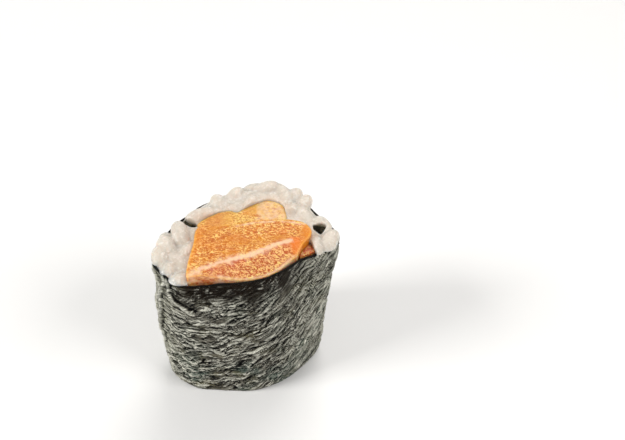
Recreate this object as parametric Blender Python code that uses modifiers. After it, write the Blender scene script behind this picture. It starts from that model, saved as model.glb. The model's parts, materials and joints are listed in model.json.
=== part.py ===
"""A piece of salmon maki roll, standing on its lower cut end.

Three strips of salmon run up through the rice, and one sheet of nori is rolled round them and laps over itself at the
back. Lengths are in millimetres and angles in degrees, and mesh points are scaled to metres as they are made. +Z is up,
and the origin is the middle of the foot.
"""

import functools
import math
import random

import bmesh
import bpy
import numpy as np

MM = 0.001

# The roll: one sixth of a roll as long as a sheet of nori.
ROLL_LENGTH = 210.0
PIECES_PER_ROLL = 6
HEIGHT = ROLL_LENGTH / PIECES_PER_ROLL
NORI_THICKNESS = 0.36
GAP = 0.3
AXIS_FROM_MIDDLE = (0.642, 0.217)

# The squashed outline of the sheet's middle, seen from above: the pressed front is flat and the ends are tight corners.
RIM_OUTLINE = (
    (4.2, 10.7),
    (-0.5, 10.5),
    (-5.2, 8.0),
    (-9.1, 4.2),
    (-12.3, -1.0),
    (-13.8, -6.0),
    (-12.0, -9.8),
    (-8.2, -12.3),
    (-4.5, -11.6),
    (1.7, -10.35),
    (5.35, -8.4),
    (8.2, -5.35),
    (11.6, -2.8),
    (14.5, 0.6),
    (12.3, 3.8),
    (8.2, 8.0),
)
FOOT_OUTLINE = (
    (4.2, 11.0),
    (-0.8, 11.0),
    (-5.8, 8.6),
    (-10.4, 4.6),
    (-14.0, -0.6),
    (-15.7, -5.4),
    (-14.0, -8.8),
    (-9.5, -11.0),
    (-4.6, -11.0),
    (2.0, -10.3),
    (7.6, -7.5),
    (11.7, -3.2),
    (14.0, 1.0),
    (12.3, 4.2),
    (8.4, 8.3),
)
BULGE_TOP = 0.48

# The sheet of nori: how far it laps over itself, and the lumps that the rice presses into it.
LAP_LENGTH = 7.5
LAP_RISE = 3.5
LAP_CLEARANCE = 0.14
LUMP_DEPTH = 0.34
LUMP_WIDTH = 4.6
FOOT_PLAIN = 3.0
RIM_WAVE = 0.28
NORI_COLUMNS = 84
NORI_ROWS = 11

# The salmon strips, drawn past the nori where they touch it, with the heights of their cut tops.
SLAB_OUTLINE = (
    (-7.8, -1.6),
    (-7.75, -5.4),
    (-7.6, -9.2),
    (-7.0, -12.0),
    (-5.4, -14.2),
    (0.6, -13.0),
    (7.2, -10.0),
    (7.9, -5.6),
    (8.6, -3.3),
    (9.65, -1.4),
    (9.8, 0.2),
    (8.7, 1.7),
    (6.6, 2.1),
    (4.6, 1.9),
    (0.6, 1.0),
    (-3.4, -0.7),
)
STRIP_OUTLINE = (
    (-8.0, -0.95),
    (-3.8, -0.1),
    (0.2, 1.56),
    (4.2, 2.45),
    (5.4, 2.8),
    (5.1, 4.5),
    (4.3, 6.0),
    (2.1, 6.6),
    (0.0, 5.3),
    (-1.6, 3.8),
    (-2.7, 2.8),
    (-4.2, 2.9),
    (-6.0, 2.0),
    (-7.8, 0.2),
)
SLIVER_OUTLINE = (
    (8.8, -4.15),
    (9.6, -4.5),
    (11.0, -3.8),
    (10.65, -2.9),
    (10.3, -2.2),
    (9.95, -1.7),
    (9.75, -1.95),
    (9.4, -2.75),
)
SLAB_TOP = 36.5
SLAB_CREST = 0.35
SLAB_FRONT_DROP = 1.5
STRIP_TOP = 36.1
SLIVER_TOP = 35.2
CREST_FROM = (-6.5, -12.0)
CREST_TO = (8.2, -2.6)
CREST_BOW = 0.9

# The rice: a packed core, with grains standing out of its cut top.
RICE_TOP = 35.5
RICE_BACK_RISE = 1.3
CORE_BELOW_TOP = 0.55
CORE_EDGE_DROP = 0.7
GRAIN_LENGTH = 5.0
GRAIN_WIDTH = 2.8
GRAIN_THICKNESS = 2.4
EDGE_SPACING = 2.6
EDGE_INSET = 0.75
GRAIN_SPACING = 1.95
GRAIN_TRIES = 700
GRAIN_RISE = (-5.0, 26.0, 8.0)
GRAIN_SEED = 11
# Grains that lie over the rim or stand out from the rest: middle x, y and top z, then heading, rise and length.
PLACED_GRAINS = (
    (-10.75, -2.9, 36.8, 114.0, 14.0, 5.2),
    (-8.5, 1.55, 36.9, 34.0, 5.0, 5.6),
    (-5.9, 4.8, 37.0, 140.0, 25.0, 4.4),
    (-3.9, 6.9, 37.1, 60.0, 20.0, 4.4),
    (-12.3, -5.7, 36.5, 112.0, 14.0, 4.2),
    (-12.6, -7.4, 36.2, 106.0, 6.0, 4.0),
    (1.2, 9.4, 37.5, 20.0, 12.0, 5.2),
    (4.0, 9.3, 37.1, 150.0, 10.0, 4.8),
    (8.5, 4.6, 36.4, 130.0, 15.0, 5.0),
    (10.95, -1.75, 36.1, 107.0, 6.0, 4.2),
    (13.2, -0.45, 36.35, 72.0, 5.0, 4.8),
    (11.7, 3.3, 35.9, 130.0, 0.0, 4.4),
)
# Two holes that open between the grains: one at each end of the roll.
HOLLOWS = (
    (
        (10.2, 2.6),
        (10.3, 1.6),
        (10.8, 1.1),
        (11.6, 0.5),
        (12.2, 1.6),
        (12.4, 2.5),
        (11.5, 2.9),
    ),
    (
        (-11.2, 0.1),
        (-10.2, -0.9),
        (-8.9, -1.2),
        (-8.5, -0.5),
        (-9.3, -0.1),
        (-10.3, 0.2),
        (-11.0, 0.8),
    ),
)
HOLLOW_FLOOR = 33.6

COLOURS = {
    "nori": ((0.045, 0.052, 0.040, 1.0), 0.5),
    "rice": ((0.86, 0.83, 0.77, 1.0), 0.35),
    "salmon_slab": ((0.86, 0.33, 0.10, 1.0), 0.3),
    "salmon_strip": ((0.90, 0.46, 0.22, 1.0), 0.3),
    "salmon_sliver": ((0.62, 0.15, 0.06, 1.0), 0.3),
}


def clear_scene():
    """Removes every object, so that the script starts from an empty scene."""
    for obj in list(bpy.data.objects):
        bpy.data.objects.remove(obj)


def smooth(x):
    """0 below 0, 1 above 1, and an S-curve between them."""
    x = np.clip(x, 0.0, 1.0)
    return x * x * (3.0 - 2.0 * x)


@functools.cache
def closed_curve(points, samples=720):
    """Points of the smooth closed curve through `points`, spaced evenly by length, with its outward normals."""
    p = np.array(points, float)
    t = np.arange(samples) * len(p) / samples
    i = t.astype(int)
    t = (t - i)[:, None]
    a, b, c, d = (p[(i + k) % len(p)] for k in (-1, 0, 1, 2))
    curve = 0.5 * (2 * b + (c - a) * t + (2 * a - 5 * b + 4 * c - d) * t**2 + (3 * b - a - 3 * c + d) * t**3)
    steps = np.hypot(*(np.roll(curve, -1, 0) - curve).T)
    along = np.concatenate([[0.0], np.cumsum(steps)])
    even = np.arange(samples) * along[-1] / samples
    closed = np.vstack([curve, curve[:1]])
    curve = np.stack([np.interp(even, along, closed[:, k]) for k in (0, 1)], 1)
    tangent = np.roll(curve, -3, 0) - np.roll(curve, 3, 0)
    tangent /= np.hypot(*tangent.T)[:, None]
    return curve, np.stack([tangent[:, 1], -tangent[:, 0]], 1)


def outline_length(points):
    """The length round a closed curve."""
    curve, _ = closed_curve(points)
    return float(np.hypot(*(np.roll(curve, -1, 0) - curve).T).sum())


def rim_share(z):
    """How much of the rim's outline the wall has at height z: all of it at the top, none below the bulge."""
    return smooth((np.asarray(z, float) / HEIGHT - BULGE_TOP) / (1.0 - BULGE_TOP))


def wall(turn, z, out=0.0):
    """Points on the wall at `turn` (0 to 1 round the outline) and height z, moved outwards by `out`."""
    turn, z, out = np.broadcast_arrays(turn, np.asarray(z, float), out)
    share = rim_share(z)[..., None]
    at = (turn % 1.0) * 720.0
    low = at.astype(int)
    part = (at - low)[..., None]
    mixed = []
    for outline in (RIM_OUTLINE, FOOT_OUTLINE):
        for values in closed_curve(outline):
            mixed.append(values[low % 720] * (1 - part) + values[(low + 1) % 720] * part)
    point = mixed[0] * share + mixed[2] * (1 - share)
    normal = mixed[1] * share + mixed[3] * (1 - share)
    normal /= np.linalg.norm(normal, axis=-1, keepdims=True)
    return np.concatenate([point + normal * out[..., None], z[..., None]], -1)


def wall_radius(angle, z, out=0.0):
    """Distance from the roll's axis to the wall, in the direction `angle` in radians."""
    turns = np.arange(360) / 360.0
    radii = []
    for level in (HEIGHT, 0.0):
        ring = wall(turns, level, out)
        directions = np.arctan2(ring[:, 1], ring[:, 0])
        order = np.argsort(directions)
        radii.append(np.interp(angle, directions[order], np.hypot(ring[:, 0], ring[:, 1])[order], period=2 * math.pi))
    share = rim_share(z)
    return radii[0] * share + radii[1] * (1 - share)


def lumps(along, z):
    """Smooth bumps from 0 to 1 over the sheet: three crossed sets of waves, at `along` round it and height z."""
    k = 2 * math.pi / LUMP_WIDTH
    waves = np.sin(k * (along + 0.35 * z)) + np.sin(k * (0.8 * z - 0.45 * along) + 1.1)
    waves = waves + np.sin(0.61 * k * (along - 0.9 * z) + 2.3) + 0.6 * np.sin(1.7 * k * (0.3 * along + z) + 0.4)
    return np.clip(0.5 + waves / 7.2, 0.0, 1.0)


def rim_height(turn):
    """Height of the nori's cut edge, which waves a little."""
    a = 2 * math.pi * np.asarray(turn)
    return HEIGHT + RIM_WAVE * (0.6 * np.sin(2 * a + 0.4) + 0.4 * np.sin(5 * a + 1.0))


def add_object(name, mesh, collection):
    """Links a new object for a mesh, with the material of its name, if it has one."""
    obj = bpy.data.objects.new(name, mesh)
    collection.objects.link(obj)
    if name in COLOURS:
        colour, roughness = COLOURS[name]
        material = bpy.data.materials.new(name)
        material.use_nodes = True
        shader = material.node_tree.nodes["Principled BSDF"]
        shader.inputs["Base Color"].default_value = colour
        shader.inputs["Roughness"].default_value = roughness
        mesh.materials.append(material)
        mesh.shade_smooth()
        mesh.set_sharp_from_angle(angle=math.radians(50))
    return obj


def lofted_solid(name, rings, collection):
    """A closed solid through rings of as many points each, whose first and last are closed by a fan to their middle."""
    bm = bmesh.new()
    loops = [[bm.verts.new(p * MM) for p in ring] for ring in rings]
    count = len(loops[0])
    for lower, upper in zip(loops, loops[1:]):
        for i in range(count):
            j = (i + 1) % count
            bm.faces.new((lower[i], lower[j], upper[j], upper[i]))
    for ring, loop in ((rings[0], loops[0]), (rings[-1], loops[-1])):
        middle = bm.verts.new(ring.mean(0) * MM)
        for i in range(count):
            bm.faces.new((loop[i], loop[(i + 1) % count], middle))
    bmesh.ops.recalc_face_normals(bm, faces=bm.faces)
    mesh = bpy.data.meshes.new(name)
    bm.to_mesh(mesh)
    bm.free()
    return add_object(name, mesh, collection)


def evaluated_mesh(obj):
    """The mesh of an object with its modifiers applied."""
    graph = bpy.context.evaluated_depsgraph_get()
    return bpy.data.meshes.new_from_object(obj.evaluated_get(graph))


def make_nori(collection):
    """The sheet: a flat grid rolled once round the wall and on over its own first end, then given its thickness."""
    round_once = outline_length(RIM_OUTLINE)
    bm = bmesh.new()
    bmesh.ops.create_grid(bm, x_segments=NORI_COLUMNS, y_segments=NORI_ROWS, size=0.5)
    flat = np.array([v.co[:2] for v in bm.verts]) + 0.5
    turn = flat[:, 0] * (1.0 + LAP_LENGTH / round_once)
    z = flat[:, 1] * rim_height(turn)
    lift = smooth(1.0 + (turn - 1.0) * round_once / LAP_RISE) * (NORI_THICKNESS + LAP_CLEARANCE)
    press = LUMP_DEPTH * lumps((turn % 1.0) * round_once, z) * smooth(z / FOOT_PLAIN)
    rolled = wall(turn, z, lift + press)
    for vert, place in zip(bm.verts, rolled):
        vert.co = place * MM
    mesh = bpy.data.meshes.new("nori")
    bm.to_mesh(mesh)
    bm.free()
    nori = add_object("nori", mesh, collection)
    solidify = nori.modifiers.new("sheet thickness", "SOLIDIFY")
    solidify.thickness = NORI_THICKNESS * MM
    solidify.offset = 0.0
    solidify.use_even_offset = True
    return nori


def follow_wall(points, z, inset=None):
    """Plan points drawn at the rim, carried down to height z in step with the wall, and kept `inset` inside it."""
    angle = np.arctan2(points[:, 1], points[:, 0])
    radius = np.hypot(points[:, 0], points[:, 1])
    radius = radius * wall_radius(angle, z) / wall_radius(angle, HEIGHT)
    if inset is not None:
        radius = np.minimum(radius, wall_radius(angle, z, -inset))
    return np.stack([radius * np.cos(angle), radius * np.sin(angle)], 1)


def strip_ring(outline, z, count, grow=0.0, inset=None):
    """One level ring of a strip's outline, grown by `grow`."""
    curve, normal = closed_curve(outline, count)
    flat = follow_wall(curve + normal * grow, z, inset)
    return np.column_stack([flat, np.full(count, z)])


def crest_distance(points):
    """How far in front of the slab's bowed crest line each plan point lies: positive towards the front."""
    start, end = np.array(CREST_FROM), np.array(CREST_TO)
    run = (end - start) / np.linalg.norm(end - start)
    along = (points - start) @ run / np.linalg.norm(end - start)
    bow = CREST_BOW * 4.0 * np.clip(along, 0, 1) * (1 - np.clip(along, 0, 1))
    return bow - (points - start) @ np.array([-run[1], run[0]])


def slab_top(points):
    """Height of the big strip's cut face: nearly level behind the crest, and sloping down to the rim in front."""
    ahead = crest_distance(points)
    rise = SLAB_CREST * np.exp(-((ahead / 1.6) ** 2))
    return SLAB_TOP + rise - SLAB_FRONT_DROP * smooth(ahead / 4.5)


def make_strip(name, outline, top, count, collection):
    """A salmon strip: its outline carried up through the roll, then closed by a crowned cut face."""
    inset = NORI_THICKNESS / 2 + GAP
    rings = [strip_ring(outline, z, count, 0.0, inset) for z in np.linspace(0.0, HEIGHT - 2.0, 6)]
    edge = strip_ring(outline, HEIGHT, count, 0.0, inset)
    middle = edge[:, :2].mean(0)
    for scale, drop in ((1.0, 0.75), (0.985, 0.35), (0.93, 0.1), (0.75, 0.0), (0.5, 0.0), (0.25, 0.0)):
        flat = middle + (edge[:, :2] - middle) * scale
        height = top(flat) - drop
        rings.append(np.column_stack([flat, height]))
    return lofted_solid(name, rings, collection)


def rice_level(points):
    """Height of the rice core's top, which stands higher towards the back of the roll."""
    back = (points @ np.array([-0.25, 0.97]) + 2.0) / 10.0
    return RICE_TOP + RICE_BACK_RISE * smooth(back)


def make_rice_core(collection):
    """The packed rice without its loose grains: the inside of the wall, closed by a gently uneven top."""
    turns = np.arange(60) / 60.0
    rings = [wall(turns, z, 0.1) for z in np.linspace(0.0, RICE_TOP - 2.2, 6)]
    edge = wall(turns, HEIGHT, 0.1)[:, :2]
    middle = edge.mean(0)
    for scale in (0.98, 0.9, 0.8, 0.6, 0.4):
        flat = middle + (edge - middle) * scale
        sink = CORE_BELOW_TOP + CORE_EDGE_DROP * smooth((scale - 0.8) / 0.18)
        rings.append(np.column_stack([flat, rice_level(flat) - sink]))
    return lofted_solid("rice", rings, collection)


def inside_strips(point, margin):
    """True where a plan point is within `margin` of a salmon strip's outline, or inside it."""
    for outline in (SLAB_OUTLINE, STRIP_OUTLINE, SLIVER_OUTLINE):
        curve, normal = closed_curve(outline, 120)
        ring = curve + normal * margin
        step = np.roll(ring, -1, 0) - ring
        above = ring[:, 1] > point[1]
        crosses = above != np.roll(above, -1)
        rise = np.where(step[:, 1] == 0, 1e-9, step[:, 1])
        meets = ring[:, 0] + (point[1] - ring[:, 1]) / rise * step[:, 0]
        if np.count_nonzero(crosses & (point[0] < meets)) % 2:
            return True
    return False


def grain_places():
    """Where the grains of the cut top lie: the placed ones, a row along the rim, then others that find room at random."""
    draw = random.Random(GRAIN_SEED)
    places = list(PLACED_GRAINS)
    steps = int(outline_length(RIM_OUTLINE) / EDGE_SPACING)
    edge = [((step + draw.uniform(-0.1, 0.1)) / steps, EDGE_INSET) for step in range(steps)]
    inner = [(draw.random(), draw.uniform(2.2, 11.0)) for _ in range(GRAIN_TRIES)]
    for turn, inset in edge + inner:
        x, y, _ = wall(turn, HEIGHT, -inset)
        near = min(math.hypot(x - p[0], y - p[1]) for p in places)
        if near > GRAIN_SPACING and not inside_strips((x, y), 0.4):
            top = float(rice_level(np.array([[x, y]]))[0]) + draw.uniform(-0.35, 0.35)
            rise = draw.triangular(*GRAIN_RISE)
            places.append((x, y, top, draw.uniform(0.0, 180.0), rise, GRAIN_LENGTH * draw.uniform(0.85, 1.1)))
    return places


def add_grain(number, place, collection):
    """One cooked grain: a small ball drawn out to a grain's length with blunt ends, then turned and tipped."""
    x, y, top, heading, rise, length = place
    tilt = math.radians(rise)
    half_height = 0.5 * math.hypot(length * math.sin(tilt), GRAIN_THICKNESS * math.cos(tilt))
    bm = bmesh.new()
    bmesh.ops.create_uvsphere(bm, u_segments=6, v_segments=4, radius=1.0)
    for vert in bm.verts:
        girth = math.hypot(vert.co.x, vert.co.y)
        if girth > 0.01:
            blunt = math.sqrt(1.0 - abs(vert.co.z) ** 2.6) / girth
            vert.co.x *= blunt
            vert.co.y *= blunt
        vert.co *= 0.5 * MM
    mesh = bpy.data.meshes.new(f"grain_{number}")
    bm.to_mesh(mesh)
    bm.free()
    grain = bpy.data.objects.new(f"grain_{number}", mesh)
    grain.location = (x * MM, y * MM, (top - half_height) * MM)
    grain.rotation_euler = (0.0, 0.5 * math.pi - tilt, math.radians(heading))
    grain.scale = (GRAIN_THICKNESS, GRAIN_WIDTH, length)
    collection.objects.link(grain)


def join_and_cut(rice, grains, cutters):
    """Fuses the grains onto the core, cuts both clear of the nori and the salmon, and drops any loose scrap."""
    for name, operation, operand in (("fuse", "UNION", grains), ("clear", "DIFFERENCE", cutters)):
        boolean = rice.modifiers.new(name, "BOOLEAN")
        boolean.operation = operation
        boolean.operand_type = "COLLECTION"
        boolean.collection = operand
        boolean.solver = "MANIFOLD"
    whole = evaluated_mesh(rice)
    rice.modifiers.clear()
    bm = bmesh.new()
    bm.from_mesh(whole)
    bmesh.ops.remove_doubles(bm, verts=bm.verts, dist=0.00001)
    bmesh.ops.triangulate(bm, faces=bm.faces)
    keep_largest(bm)
    bm.to_mesh(rice.data)
    bm.free()
    rice.data.shade_smooth()
    rice.data.set_sharp_from_angle(angle=math.radians(50))
    for obj in list(grains.objects):
        bpy.data.objects.remove(obj)


def keep_largest(bm):
    """Leaves only the connected piece with the most faces."""
    left = set(bm.verts)
    pieces = []
    while left:
        found, queue = set(), [left.pop()]
        while queue:
            vert = queue.pop()
            found.add(vert)
            queue += [v for e in vert.link_edges for v in e.verts if v in left]
            left.difference_update(v for e in vert.link_edges for v in e.verts)
        pieces.append(found)
    pieces.sort(key=len)
    for scrap in pieces[:-1]:
        bmesh.ops.delete(bm, geom=list(scrap), context="VERTS")


def make_clearances(collection):
    """Helpers cut from the rice: a ring round the nori's inner face, each salmon strip grown by the gap, and the holes."""
    turns = np.arange(96) / 96.0
    inner = -(NORI_THICKNESS / 2 + GAP)
    top = rim_height(turns) + GAP
    heights = [np.full(96, -2.0), *(np.full(96, z) for z in np.linspace(0.0, HEIGHT - 3.0, 6)), top]
    inside = [wall(turns, z, inner) for z in heights]
    outside = [wall(turns, z, 6.0) for z in heights]
    loop = inside + outside[::-1]
    bm = bmesh.new()
    rings = [[bm.verts.new(p * MM) for p in ring] for ring in loop]
    for lower, upper in zip(rings, rings[1:] + rings[:1]):
        for i in range(96):
            j = (i + 1) % 96
            bm.faces.new((lower[i], lower[j], upper[j], upper[i]))
    bmesh.ops.recalc_face_normals(bm, faces=bm.faces)
    mesh = bpy.data.meshes.new("nori_clearance")
    bm.to_mesh(mesh)
    bm.free()
    add_object("nori_clearance", mesh, collection)
    for name, outline, count in (("slab", SLAB_OUTLINE, 48), ("strip", STRIP_OUTLINE, 44), ("sliver", SLIVER_OUTLINE, 24)):
        levels = (-2.0, *np.linspace(0.0, HEIGHT, 7), HEIGHT + 9.0)
        lofted_solid(f"{name}_clearance", [strip_ring(outline, z, count, GAP) for z in levels], collection)
    for number, outline in enumerate(HOLLOWS):
        rings = [strip_ring(outline, z, 24, grow) for z, grow in ((HOLLOW_FLOOR, -0.15), (HEIGHT, 0.0), (HEIGHT + 9.0, 0.1))]
        lofted_solid(f"hollow_{number}", rings, collection)


def new_collection(name, parent):
    """A named collection inside another."""
    made = bpy.data.collections.new(name)
    parent.children.link(made)
    return made


def main():
    clear_scene()
    scene = bpy.context.scene.collection
    roll = new_collection("salmon_maki_roll", scene)
    grains = new_collection("grains", scene)
    cutters = new_collection("clearances", scene)

    parts = [make_nori(roll)]
    parts.append(make_strip("salmon_slab", SLAB_OUTLINE, slab_top, 44, roll))
    parts.append(make_strip("salmon_strip", STRIP_OUTLINE, lambda p: np.full(len(p), STRIP_TOP), 36, roll))
    parts.append(make_strip("salmon_sliver", SLIVER_OUTLINE, lambda p: np.full(len(p), SLIVER_TOP), 18, roll))

    rice = make_rice_core(roll)
    for number, place in enumerate(grain_places()):
        add_grain(number, place, grains)
    make_clearances(cutters)
    join_and_cut(rice, grains, cutters)
    parts.append(rice)
    for cutter in cutters.objects:
        cutter.hide_render = True
        cutter.display_type = "WIRE"

    for obj in [*parts, *cutters.objects]:
        obj.location = (AXIS_FROM_MIDDLE[0] * MM, AXIS_FROM_MIDDLE[1] * MM, 0.0)


main()
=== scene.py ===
"""Looks for a standing piece of salmon maki roll: wrinkled nori, sticky rice and three wet strips of salmon.

Lengths are in millimetres, with the roll's own axis at x = y = 0, until put_in_metres() moves a shape to the
frame.
"""

import functools
import json
import math
import random

import bmesh
import bpy
import numpy as np
from mathutils import Matrix

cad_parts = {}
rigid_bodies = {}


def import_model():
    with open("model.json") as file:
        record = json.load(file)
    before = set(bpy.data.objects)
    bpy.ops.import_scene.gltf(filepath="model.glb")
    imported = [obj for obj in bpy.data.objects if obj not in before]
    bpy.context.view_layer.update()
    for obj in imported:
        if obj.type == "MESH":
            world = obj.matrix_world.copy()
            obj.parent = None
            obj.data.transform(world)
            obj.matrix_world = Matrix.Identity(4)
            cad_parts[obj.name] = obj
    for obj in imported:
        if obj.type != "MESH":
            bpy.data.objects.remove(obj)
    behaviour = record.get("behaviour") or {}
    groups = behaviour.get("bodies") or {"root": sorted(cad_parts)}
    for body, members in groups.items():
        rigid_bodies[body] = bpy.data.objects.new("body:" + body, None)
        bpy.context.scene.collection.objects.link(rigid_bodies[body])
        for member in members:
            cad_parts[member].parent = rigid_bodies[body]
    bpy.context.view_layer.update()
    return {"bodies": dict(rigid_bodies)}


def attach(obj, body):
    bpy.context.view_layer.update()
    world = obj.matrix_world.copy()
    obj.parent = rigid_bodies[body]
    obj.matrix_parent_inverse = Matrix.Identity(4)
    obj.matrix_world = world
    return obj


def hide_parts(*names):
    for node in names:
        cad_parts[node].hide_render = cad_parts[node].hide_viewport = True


MM = 0.001
AXIS = np.array((0.642, 0.217, 0.0))
# The points of each smooth closed outline.
SAMPLES = 720

# The roll's shape, as the solids have it.
HEIGHT = 35.0
NORI_THICKNESS = 0.36
BULGE_TOP = 0.48
RIM_OUTLINE = (
    (4.2, 10.7), (-0.5, 10.5), (-5.2, 8.0), (-9.1, 4.2), (-12.3, -1.0),
    (-13.8, -6.0), (-12.0, -9.8), (-8.2, -12.3), (-4.5, -11.6), (1.7, -10.35),
    (5.35, -8.4), (8.2, -5.35), (11.6, -2.8), (14.5, 0.6), (12.3, 3.8), (8.2, 8.0),
)
FOOT_OUTLINE = (
    (4.2, 11.0), (-0.8, 11.0), (-5.8, 8.6), (-10.4, 4.6), (-14.0, -0.6),
    (-15.7, -5.4), (-14.0, -8.8), (-9.5, -11.0), (-4.6, -11.0), (2.0, -10.3),
    (7.6, -7.5), (11.7, -3.2), (14.0, 1.0), (12.3, 4.2), (8.4, 8.3),
)
LAP_LENGTH = 7.5
LAP_RISE = 3.5
LAP_CLEARANCE = 0.14
LUMP_DEPTH = 0.34
LUMP_WIDTH = 4.6
FOOT_PLAIN = 3.0
RIM_WAVE = 0.28

SLAB_OUTLINE = (
    (-7.8, -1.6), (-7.75, -5.4), (-7.6, -9.2), (-7.0, -12.0), (-5.4, -14.2), (0.6, -13.0), (7.2, -10.0),
    (7.9, -5.6), (8.6, -3.3), (9.65, -1.4), (9.8, 0.2), (8.7, 1.7), (6.6, 2.1), (4.6, 1.9), (0.6, 1.0),
    (-3.4, -0.7),
)
STRIP_OUTLINE = (
    (-8.0, -0.95), (-3.8, -0.1), (0.2, 1.56), (4.2, 2.45), (5.4, 2.8), (5.1, 4.5), (4.3, 6.0),
    (2.1, 6.6), (0.0, 5.3), (-1.6, 3.8), (-2.7, 2.8), (-4.2, 2.9), (-6.0, 2.0), (-7.8, 0.2),
)
SLIVER_OUTLINE = (
    (8.8, -4.15), (9.6, -4.5), (11.0, -3.8), (10.65, -2.9), (10.3, -2.2), (9.95, -1.7), (9.75, -1.95),
    (9.4, -2.75),
)
SLAB_TOP = 36.5
SLAB_CREST = 0.35
SLAB_FRONT_DROP = 1.5
STRIP_TOP = 36.1
SLIVER_TOP = 35.2
# How far each strip swells past its outline, to touch the rice and the other strips.
SWELL = 0.21
SLIVER_SWELL = 0.26
CREST_FROM = (-6.5, -12.0)
CREST_TO = (8.2, -2.6)
CREST_BOW = 0.9

RICE_TOP = 35.5
RICE_BACK_RISE = 1.3
GRAIN_LENGTH = 5.0
GRAIN_WIDTH = 2.8
GRAIN_THICKNESS = 2.4
EDGE_SPACING = 2.6
EDGE_INSET = 0.75
GRAIN_SPACING = 1.95
GRAIN_TRIES = 700
GRAIN_RISE = (-5.0, 26.0, 8.0)
GRAIN_SEED = 11
SHADE_SEED = 5
# A grain's rings along its length, and the points of each ring.
GRAIN_RINGS, GRAIN_ROUND = 17, 16
# The voxels that fuse the grains, and how often the result is smoothed.
GRAIN_VOXEL, GRAIN_PASSES = 0.16, 10
# The same for the grains of the lower cut end.
FOOT_SPACING = 2.0
FOOT_TRIES = 900
FOOT_SEED = 23
FOOT_VOXEL, FOOT_PASSES = 0.2, 3
# Grains that lie over the rim or stand out: middle x, y and top z, then heading, rise and length.
PLACED_GRAINS = (
    (-10.75, -2.9, 36.8, 114.0, 14.0, 5.2),
    (-8.5, 1.55, 36.9, 34.0, 5.0, 5.6),
    (-5.9, 4.8, 37.0, 140.0, 25.0, 4.4),
    (-3.9, 6.9, 37.1, 60.0, 20.0, 4.4),
    (-12.3, -5.7, 36.5, 112.0, 14.0, 4.2),
    (-12.6, -7.4, 36.2, 106.0, 6.0, 4.0),
    (1.2, 9.4, 37.5, 20.0, 12.0, 5.2),
    (4.0, 9.3, 37.1, 150.0, 10.0, 4.8),
    (8.5, 4.6, 36.4, 130.0, 15.0, 5.0),
    (10.95, -1.75, 36.1, 107.0, 6.0, 4.2),
    (13.2, -0.45, 36.35, 72.0, 5.0, 4.8),
    (11.7, 3.3, 35.9, 130.0, 0.0, 4.4),
)
# Two holes that open between the grains: one at each end of the roll.
HOLLOWS = (
    ((10.2, 2.6), (10.3, 1.6), (10.8, 1.1), (11.6, 0.5), (12.2, 1.6), (12.4, 2.5), (11.5, 2.9)),
    ((-11.2, 0.1), (-10.2, -0.9), (-8.9, -1.2), (-8.5, -0.5), (-9.3, -0.1), (-10.3, 0.2), (-11.0, 0.8)),
)
HOLLOW_FLOOR = 33.6

# The white fat line of the slab in plan, and the part of its back edge that carries a painted highlight.
FAT_LINE = (
    (-6.9, -11.7), (-5.9, -10.7), (-4.7, -9.9), (-2.8, -8.6), (-0.4, -7.4),
    (1.1, -6.5), (3.0, -5.2), (5.0, -3.8), (6.5, -3.0), (7.5, -2.3),
)
BACK_EDGE = ((8.4, 1.9), (6.6, 2.25), (4.6, 2.05), (0.6, 1.15), (-2.4, -0.1))

# The sheet's grid: columns round the roll, and rows up its outside.
NORI_COLUMNS = 356
NORI_ROWS = 268
# The wrinkles are the ridges between hills, given as their length round the roll and their height, in three sizes.
BROAD_HILLS = (6.0, 1.9)
MIDDLE_HILLS = (3.8, 0.85)
FINE_HILLS = (2.0, 0.42)
# How far round the roll the wrinkles turn upwards, and how gently.
CLIMB_START = 46.0
CLIMB_BEND = 6.0
# How far a wrinkle of height 1 stands out, and the height of wrinkle that stays on the sheet's plain surface.
RELIEF = 0.42
RELIEF_LEVEL = 0.50
CREASE_HEIGHT = 1.3
# The tone of the sheet's inside.
INSIDE_TONE = 0.12
# Creases of the sheet, as places (distance round it, height).
CREASES = (
    ((29.8, 35.0), (30.6, 31.0), (31.0, 28.3), (31.1, 23.5), (30.6, 13.0)),
    ((32.8, 35.0), (31.8, 31.5), (31.0, 28.3)),
    ((33.7, 35.0), (33.4, 32.4), (34.8, 30.6), (37.0, 28.6)),
)

# The strips' rings: the step from ring to ring on a cut face, the rounded edge, and the gap to the nori.
RING_STEP = 0.16
EDGE_ROUND = 0.25
STRIP_GAP = 0.06


def smooth(x):
    """0 below 0, 1 above 1, and an S-curve between them."""
    x = np.clip(x, 0.0, 1.0)
    return x * x * (3.0 - 2.0 * x)


def bell(distance, width):
    """1 at distance 0, falling to 0.37 at `width` and then to nothing: e to the minus (distance / width) squared."""
    return np.exp(-((distance / width) ** 2))


@functools.cache
def slopes(seed):
    """A shuffled order and 256 random directions: what one kind of noise is made from."""
    draw = np.random.default_rng(seed)
    return draw.permutation(256), draw.uniform(0.0, 2.0 * math.pi, 256)


def noise(x, y, seed):
    """Smooth hills from about -1 to 1: each whole-number corner slopes at random, and corners blend together."""
    order, angle = slopes(seed)
    x, y = np.broadcast_arrays(x, y)
    i, j = np.floor(x).astype(int), np.floor(y).astype(int)
    fx, fy = x - i, y - j
    blend = [(1.0 - w, w) for w in (f**3 * (f * (6.0 * f - 15.0) + 10.0) for f in (fx, fy))]
    total = 0.0
    for di, dj in ((0, 0), (0, 1), (1, 0), (1, 1)):
        a = angle[order[(order[(i + di) & 255] + j + dj) & 255]]
        total = total + (np.cos(a) * (fx - di) + np.sin(a) * (fy - dj)) * blend[0][di] * blend[1][dj]
    return 1.5 * total


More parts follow.
